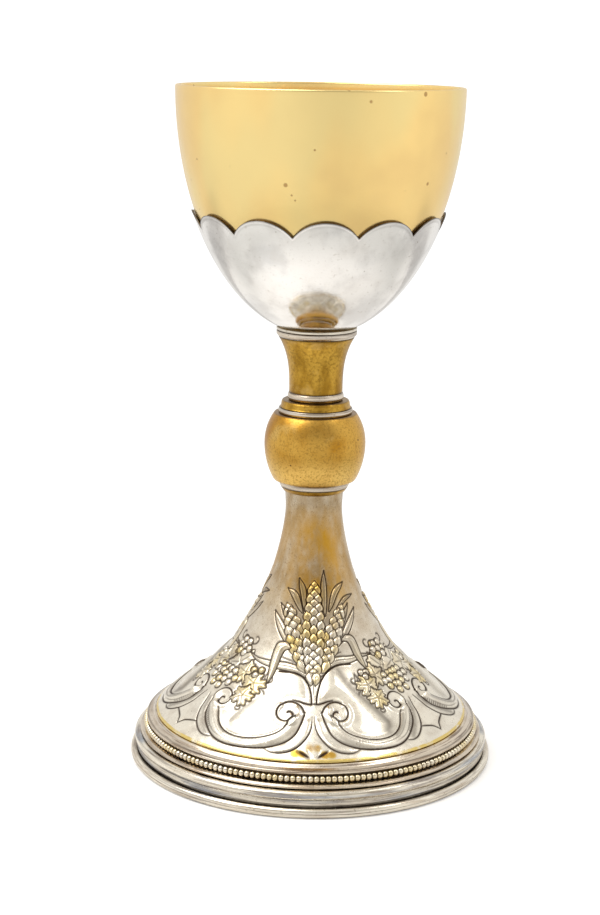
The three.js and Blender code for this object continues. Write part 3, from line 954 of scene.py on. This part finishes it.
def ear(panel, base, tip, half_width):
    """An ear of wheat between two (across, along) places: grains overlapping like scales."""
    base, tip = np.array(base), np.array(tip)
    length = np.linalg.norm(tip - base)
    axis = (tip - base) / length
    side = np.array([axis[1], -axis[0]])
    pitch, grain_length = 3.1, 5.0

    def grain(across, top, lean):
        start = base + axis * (top - grain_length) + side * across * 0.8
        end = base + axis * top + side * (across + lean)
        places = [panel.spot(*(start + (end - start) * t)) for t in (0, 0.5, 1)]
        gilt = 0.5 + 0.4 * random.random() if random.random() < 0.65 else 0.15
        panel.blade(places, 1.6, 0.6, gilt, rib=False, belly=0.6, line=0.22)

    for top in np.arange(length, 3.0, -pitch):
        share = top / length
        spread = half_width * min(1.0, 2.2 * (1.12 - share), 1.6 * share + 0.2)
        grain(0, top, 0)
        for way in (-1, 1):
            grain(way * 0.62 * spread, top - pitch / 2, way * 0.5)


def wheat_leaves(panel):
    """The narrow leaves that fan out behind the ears, and the two stems beside them."""
    for places, width in (
        ([(-11.3, 55.7), (-22, 61.5), (-32.5, 63.7)], 1.2),
        ([(-9.3, 56.5), (-12.5, 63), (-19.2, 67.7)], 1.1),
        ([(12.6, 54.7), (13, 63), (15.2, 70.5)], 1.2),
        ([(17.7, 56.2), (29, 62.5), (44.5, 65.7)], 1.2),
        ([(25, 55.5), (40, 59.5), (55.8, 60.7)], 0.8),
        ([(-13, 41), (-27, 48.5), (-41.5, 55)], 1.5),
        ([(22, 44), (38, 50.5), (52, 56)], 1.3),
        ([(-12, 45), (-24, 53), (-37, 58)], 1.2),
        ([(14, 44), (28, 51), (44, 58)], 1.2),
    ):
        panel.blade(places, width, 0.4, 0.15)
    for side in panel.both_sides():
        drop = 2.2 if side < 0 else 0.0
        stem = [(3, 33), (9, 36 - drop / 2), (17, 38.2 - drop), (30, 38.4 - drop),
                (41, 39 - drop), (50, 38.4)]
        panel.blade(stem, 1.5, 0.35, 0.1, belly=0.3)
        panel.engrave([(4, 35), (12, 39.8 - drop), (22, 41.2 - drop)], 0.3, 0.15, 0.7)


def stalk(panel):
    """The stalk under the ears, which spreads to both sides at its top."""
    panel.shade([(0.4, 24), (0.4, 31)], 0.8, 0.35, hatch=0.5)
    panel.swell([(0.4, 22.8), (0.4, 31.5)], 1.6, 0.3)
    panel.engrave([(-0.9, 22.4), (-1.1, 25), (-2.0, 28.3), (-4.0, 31), (-7.5, 33.1), (-13, 34.1),
                   (-22, 34)], 0.36, 0.3)
    panel.engrave([(1.7, 22.6), (2.0, 25), (3.2, 28.3), (5.6, 31.9), (11, 35.4), (19, 36.9),
                   (28, 36.7)], 0.36, 0.3)
    panel.engrave([(0.3, 25.5), (0.3, 28.5), (-0.4, 31)], 0.3, 0.2, 0.7, taper=0.8)


def bent_leaves(panel):
    """The two broad leaves that bend down beside the ears."""
    right_leaf = [(29.7, 47.2), (35.3, 47), (38.9, 45.5), (40.1, 42.5), (40.5, 39), (40.2, 34),
                  (38.4, 35), (36.1, 37), (33.8, 40), (32.5, 43), (30.5, 44.7), (25, 45.4)]
    left_leaf = [(-17, 42.8), (-20.3, 44.5), (-24.5, 44.8), (-28.7, 44), (-30.2, 41.5),
                 (-30.2, 37.5), (-29.1, 33), (-27.3, 29), (-25.3, 32), (-24, 36.5),
                 (-23.5, 39), (-21.9, 41.5), (-18.7, 42.3)]
    for leaf in (right_leaf, left_leaf):
        panel.lay(panel.shape_in(leaf, 3), 0.6, 1.6, 0.25)
    panel.engrave([(31.5, 46), (36.4, 44.6), (38.0, 41), (39.4, 36)], 0.25, 0.1, 0.3, taper=1)
    panel.engrave([(-20, 43.4), (-26, 42.6), (-27.6, 38), (-27.2, 31)], 0.25, 0.1, 0.3, taper=1)


def sheaf(panel):
    """Three ears of wheat with their leaves, on a stalk that rises from the scrolls."""
    wheat_leaves(panel)
    ear(panel, (-2.4, 36), (-9.2, 58.5), 3.7)
    ear(panel, (2.6, 35.5), (11.2, 58), 3.7)
    ear(panel, (0, 32.5), (0.3, 67), 3.9)
    stalk(panel)
    bent_leaves(panel)


def vine(panel):
    """Vine leaves, grapes and tendrils at one side of the panel."""
    for path in (
        panel.spiral((50.8, 43.2), 0.6, 2.4, 60, 330),
        panel.spiral((26.6, 30.6), 0.5, 2.2, 90, 420) + [(27.5, 28.4), (29, 27.4)],
        [(41, 34.2), (44, 33.8), (47, 33.4)],
        [(26.5, 24.5), (27.6, 25.6), (29.4, 26.2)],
        panel.spiral((36.5, 17.6), 0.4, 1.4, 90, 400),
    ):
        panel.engrave(path, 0.36, 0.22, 0.85, taper=0.5)
    panel.shade([(33, 30), (36, 24), (44, 29), (52, 30), (60, 32)], 3.4, 0.80, hatch=0.5)
    for centre, size, turn, gilt in (
        ((53, 33.4), 6.4, 200, 0.25),
        ((43.8, 30.6), 4.8, 235, 0.5),
        ((35.0, 27.6), 4.9, 170, 0.6),
        ((37.6, 22.2), 4.3, 250, 0.65),
    ):
        vine_leaf(panel, centre, size, turn, gilt)
    grape_bunch(panel, (36.5, 32.8), (2, 1), 1.3)
    grape_bunch(panel, (59, 41.5), (2, 3, 2), 1.5)
    grape_bunch(panel, (56.5, 29.8), (3, 4, 3, 1), 1.5)


def fleur_gilding(panel):
    """The gilt line round the lower edge, and three worn gilt patches on the small fleur."""
    edge_line = 2.2 * np.clip(1.6 - np.abs(panel.along - 0.3) / 0.35, 0, 1)
    panel.gilt = np.maximum(panel.gilt, edge_line[:, None])
    for angle, along in ((0, 5.2), (5.4, 2.6), (-5.4, 2.8)):
        distance, _ = panel.near([(angle - 1.2, along), (angle + 1.2, along)], 5)
        patch = np.exp(-((distance / 1.5) ** 4))
        panel.gilt = np.maximum(panel.gilt, 3.0 * patch)
        panel.film = np.maximum(panel.film, 0.8 * patch)


def chased_panel():
    """One third of the foot with all its ornament."""
    panel = Panel()
    for side in panel.both_sides():
        smooth_field(panel, 0.62 if side > 0 else 0.30)
    for _ in panel.both_sides():
        scroll_ribbon(panel)
        scroll_hatching(panel)
        outer_lobes(panel)
        vine(panel)
    sheaf(panel)
    fleur_gilding(panel)
    return panel


def hand_shift(angle):
    """How far, in degrees, the chaser's layout wandered from even thirds."""
    return -1.5 + 2.5 * (0.5 + 0.5 * np.cos(np.radians(3 * angle)))


def foot_side(panel):
    """The outline up the outside, row by row, and the direction straight out of each row."""
    total = panel.curve_along[-1]
    along = np.concatenate([panel.along, np.arange(CHASED_LENGTH, total, 1.0), [total]])
    side = np.column_stack([np.interp(along, panel.curve_along, part) for part in panel.curve.T])
    slope = np.gradient(side, along, axis=0)
    outward = np.column_stack([slope[:, 1], -slope[:, 0]])
    return side, outward / np.linalg.norm(outward, axis=1, keepdims=True)


def neck_colours(height, angle, relief):
    """Gilding on the neck, in three soft streaks, and brown film, thinner on raised work."""
    gilding = np.clip((height - 54) / 12, 0, 1) * np.clip((95 - height) / 10, 0, 1)
    streaks = 0.7 + 0.3 * np.cos(np.radians(3 * (angle - 10)))
    film = np.clip((height - 34) / 34, 0, 1) ** 1.2
    return gilding * streaks, film * (1 - 0.4 * np.clip(relief / 0.4, 0, 1))


def foot():
    """The trumpet-shaped foot, chased outside and plain inside."""
    panel = chased_panel()
    side, outward = foot_side(panel)
    plain_rows = len(side) - len(panel.along)

    def whole(values):
        """A panel's values three times round, with the plain rows above added."""
        return np.tile(np.pad(values, ((0, plain_rows), (0, 0))), (1, PANELS))

    relief = whole(panel.height)
    columns = relief.shape[1]
    even = panel.angle[0] + np.arange(columns) * GRID_ANGLE
    neck_gilt, neck_film = neck_colours(side[:, 1:], even, relief)
    outside = side[:, None] + outward[:, None] * relief[..., None]
    rim = np.array([(FOOT_RADIUS - 0.2, FOOT_BOTTOM), (FOOT_RADIUS, FOOT_BOTTOM + 0.2)])
    inside = np.vstack([panel.curve[::-12] - (FOOT_SHELL, FOOT_DROP),
                        (FOOT_RADIUS - FOOT_SHELL, FOOT_BOTTOM)])
    below, within = (np.repeat(rows[:, None], columns, axis=1) for rows in (rim, inside))
    radius, height = np.moveaxis(np.concatenate([below, outside, within]), -1, 0)
    points = placed(radius, np.radians(even + hand_shift(even)), height)

    def framed(values, rim_value):
        """Values for the outside, with those of the lower rim and the bare inside added."""
        return np.pad(values, ((len(rim), len(inside)), (0, 0)),
                      constant_values=((rim_value, 0), (0, 0)))

    grid_piece("chased_foot", points, "foot", chased,
               tone=framed(whole(panel.tone), 0.0),
               gilt=framed(np.maximum(whole(panel.gilt), neck_gilt), 2.4),
               film=framed(np.maximum(whole(panel.film), neck_film), 0.0))


# ---- Hidden fittings ----


def tie_rod():
    """The rod, threaded at both ends."""
    radius, bottom, top = extent("tie_rod")
    thread, chamfer = 0.5, 0.8
    plain_from, plain_to = 100.0, STEM_BORE_FLOOR
    rows = [(0, bottom), (radius - chamfer, bottom), (radius, bottom + chamfer)]
    for first, last in ((bottom + 1.5, plain_from), (plain_to, top - 1.0)):
        for height in np.arange(first, last, THREAD_PITCH):
            rows += [(radius, height), (radius - thread, height + THREAD_PITCH / 2)]
        rows.append((radius, last))
    rows += [(radius - chamfer, top), (0, top)]
    profile = np.array(rows)
    points = placed(profile[:, :1], circle(48), profile[:, 1:])
    weld(grid_piece("rod_threaded", points, "tie_rod", brass, close_rows=False))


def boss():
    """The socket under the bowl that the rod screws into, with its flange."""
    radius, bottom, top = extent("cup_boss")
    shank, flange, hole, hole_end, middle = 7.0, 1.4, 4.3, top - 5.4, 0.02
    outline = rounded([
        (shank, bottom), (shank, top - flange), (radius, top - flange), (radius, top),
        (middle, top), (middle, hole_end), (hole, hole_end), (hole, bottom),
    ], 0.25)
    turned_piece("boss_socket", outline, "cup_boss", brass, sides=64, bend=0.05)


def plates():
    """The plate in the foot's neck and the washer under it."""
    hole = 4.4
    for name, node in (("neck_plate", "foot_neck_plate"), ("dished_washer", "nut_washer")):
        radius, bottom, top = extent(node)
        outline = [(hole, bottom), (radius, bottom), (radius, top), (hole, top)]
        turned_piece(name, outline, node, brass, sides=96, bend=0.3)


def clamp_nut():
    """A hexagon nut with chamfered corners and a threaded bore."""
    corner, bottom, top = extent("clamp_nut")
    apothem = corner * math.cos(math.radians(30))
    angle = circle(144)
    hexagon = apothem / np.cos(np.radians(np.degrees(angle) % 60 - 30))
    crown, bore, chamfer, beyond = corner - 0.9, 4.4, 0.7, 2 * corner
    profile = [
        (bore, bottom), (bore + 0.4, bottom), (crown, bottom), (beyond, bottom + chamfer),
        (beyond, top - chamfer), (crown, top), (bore + 0.4, top), (bore, top),
    ]
    rows = [(np.minimum(hexagon, r), z) for r, z in profile]
    for height in np.arange(top - 0.9, bottom + 0.9, -THREAD_PITCH):
        rows += [(bore + 0 * angle, height), (bore - 0.25 + 0 * angle, height - THREAD_PITCH / 2)]
    radius = np.array([row[0] + 0 * angle for row in rows])
    height = np.array([row[1] + 0 * angle for row in rows])
    grid_piece("hexagon_nut", placed(radius, angle, height), "clamp_nut", brass)


# ---- Build ----

aged = material(gilt_aged)
# the knop's gilding, with a painted highlight over its lower half
worn = material(gilt_worn_and_highlit)
ringed = material(silver_rings)
wire = material(silver_wire)
bright = material(gilt_bright)
polished = material(silver_polished)
chased = material(silver_chased)
tarnished = material(silver_tarnished)
brass = material(brass_turned)

cup()
calyx()
bulged_rings()
stem_mouth_ring()
stem()
knop_collar()
knop()
neck_collar()
beaded_moulding()
torus_band()
base_wire()
beads()
foot()
tie_rod()
boss()
plates()
clamp_nut()


# ---- Setting ----


def floor():
    """A plain pale floor, lifted a little to the camera and duller away from the chalice."""
    mesh = bpy.data.meshes.new("floor")
    sides, radius = 64, 0.33
    mesh.from_pydata(placed(radius, circle(sides), 0).tolist(), [], [tuple(range(sides))])
    piece = bpy.data.objects.new("floor", mesh)
    bpy.context.scene.collection.objects.link(piece)
    paper = bpy.data.materials.new("paper")
    paper.use_nodes = True
    n = Nodes(paper.node_tree)
    away = n.node("ShaderNodeVectorMath", {0: n.place()}, operation="LENGTH").outputs["Value"]
    behind = n.node("ShaderNodeSeparateXYZ", {0: n.place()}).outputs[1]
    dull = n.times(n.ramp(away, 0.11, 0.24), n.ramp(behind, 0.06, 0.18, 1, 0.3))
    pale = n.mix(dull, (0.79, 0.78, 0.77), (0.56, 0.56, 0.55))
    surface = n.node("ShaderNodeBsdfPrincipled", {"Base Color": pale, "Roughness": 0.35})
    seen = n.node("ShaderNodeLightPath").outputs["Is Camera Ray"]
    strength = n.times(seen, 0.30)
    glow = n.node("ShaderNodeEmission", {"Color": (1, 1, 1, 1), "Strength": strength})
    both = n.node("ShaderNodeAddShader", {0: surface.outputs[0], 1: glow.outputs[0]})
    n.node("ShaderNodeOutputMaterial", {0: both.outputs[0]})
    mesh.materials.append(paper)


ROOM = (  # brightness of the room by direction, in degrees from the front towards +X
    (-180, 0.85), (-150, 0.90), (-120, 0.96), (-90, 1.04), (-30, 1.05), (-8, 0.94), (15, 0.86),
    (42, 0.96), (75, 1.05), (120, 0.96), (150, 0.88), (180, 0.85),
)


def surroundings():
    """White to the camera; to reflections a pale room, greyer low behind and high in front."""
    world = bpy.data.worlds.new("studio")
    bpy.context.scene.world = world
    world.use_nodes = True
    n = Nodes(world.node_tree)
    where = n.node("ShaderNodeTexCoord").outputs["Generated"]
    x, y, z = n.node("ShaderNodeSeparateXYZ", {0: where}).outputs
    turn = n.math("ARCTAN2", x, n.times(y, -1.0))
    share = n.math("MULTIPLY_ADD", turn, 0.5 / math.pi, 0.5)
    ramp = n.node("ShaderNodeValToRGB", {0: share})
    stops = ramp.color_ramp.elements
    while len(stops) < len(ROOM):
        stops.new(0.5)
    for stop, (angle, level) in zip(stops, ROOM):
        stop.position = (angle + 180) / 360
        stop.color = (level, 0.985 * level, 0.96 * level, 1)
    room = n.mix(n.ramp(z, 0.45, 0.85), ramp.outputs[0], (0.90, 0.88, 0.84))
    low = n.times(n.ramp(z, -0.56, -0.47), n.ramp(z, -0.32, -0.38))
    flag = n.times(low, n.ramp(y, 0.20, 0.40))
    room = n.mix(n.times(flag, 0.5), room, (0.42, 0.40, 0.38))
    high = n.times(n.ramp(z, 0.15, 0.35), n.ramp(z, 0.85, 0.70))
    shade = n.times(high, n.ramp(y, -0.35, -0.65))
    room = n.mix(n.times(shade, 0.7), room, (0.40, 0.37, 0.33))
    seen = n.node("ShaderNodeLightPath").outputs["Is Camera Ray"]
    pale = n.node("ShaderNodeBackground", {"Color": (1, 1, 1, 1), "Strength": 1.2})
    lit = n.node("ShaderNodeBackground", {"Color": room, "Strength": 1.0})
    choice = n.node("ShaderNodeMixShader", {0: seen, 1: lit.outputs[0], 2: pale.outputs[0]})
    n.node("ShaderNodeOutputWorld", {0: choice.outputs[0]})


def soft_light(name, at, size, power, target):
    """A square area light turned towards a target."""
    data = bpy.data.lights.new(name, "AREA")
    data.size = size
    data.energy = power
    lamp = bpy.data.objects.new(name, data)
    bpy.context.scene.collection.objects.link(lamp)
    lamp.location = at
    lamp.rotation_euler = (target - Vector(at)).to_track_quat("-Z", "Y").to_euler()


def camera():
    """The photograph's view: pitched down a little and hardly rolled, through a long lens."""
    data = bpy.data.cameras.new("camera")
    data.lens = 74.7
    data.sensor_width = 36
    data.clip_start = 0.01
    view = bpy.data.objects.new("camera", data)
    bpy.context.scene.collection.objects.link(view)
    pitch, roll = math.radians(12.6), math.radians(0.87)
    turn = Matrix.Rotation(math.pi / 2 - pitch, 4, "X") @ Matrix.Rotation(roll, 4, "Z")
    view.matrix_world = Matrix.Translation((-0.0052, -0.657, 0.2561)) @ turn
    bpy.context.scene.camera = view


floor()
surroundings()
middle = (cad_low + cad_high) / 2
soft_light("key", (-0.62, -0.18, 1.25), 1.1, 12.5, middle)
soft_light("fill", (0.70, -0.15, 1.20), 0.35, 1.6, middle)
camera()
bpy.context.scene.view_settings.view_transform = "Standard"
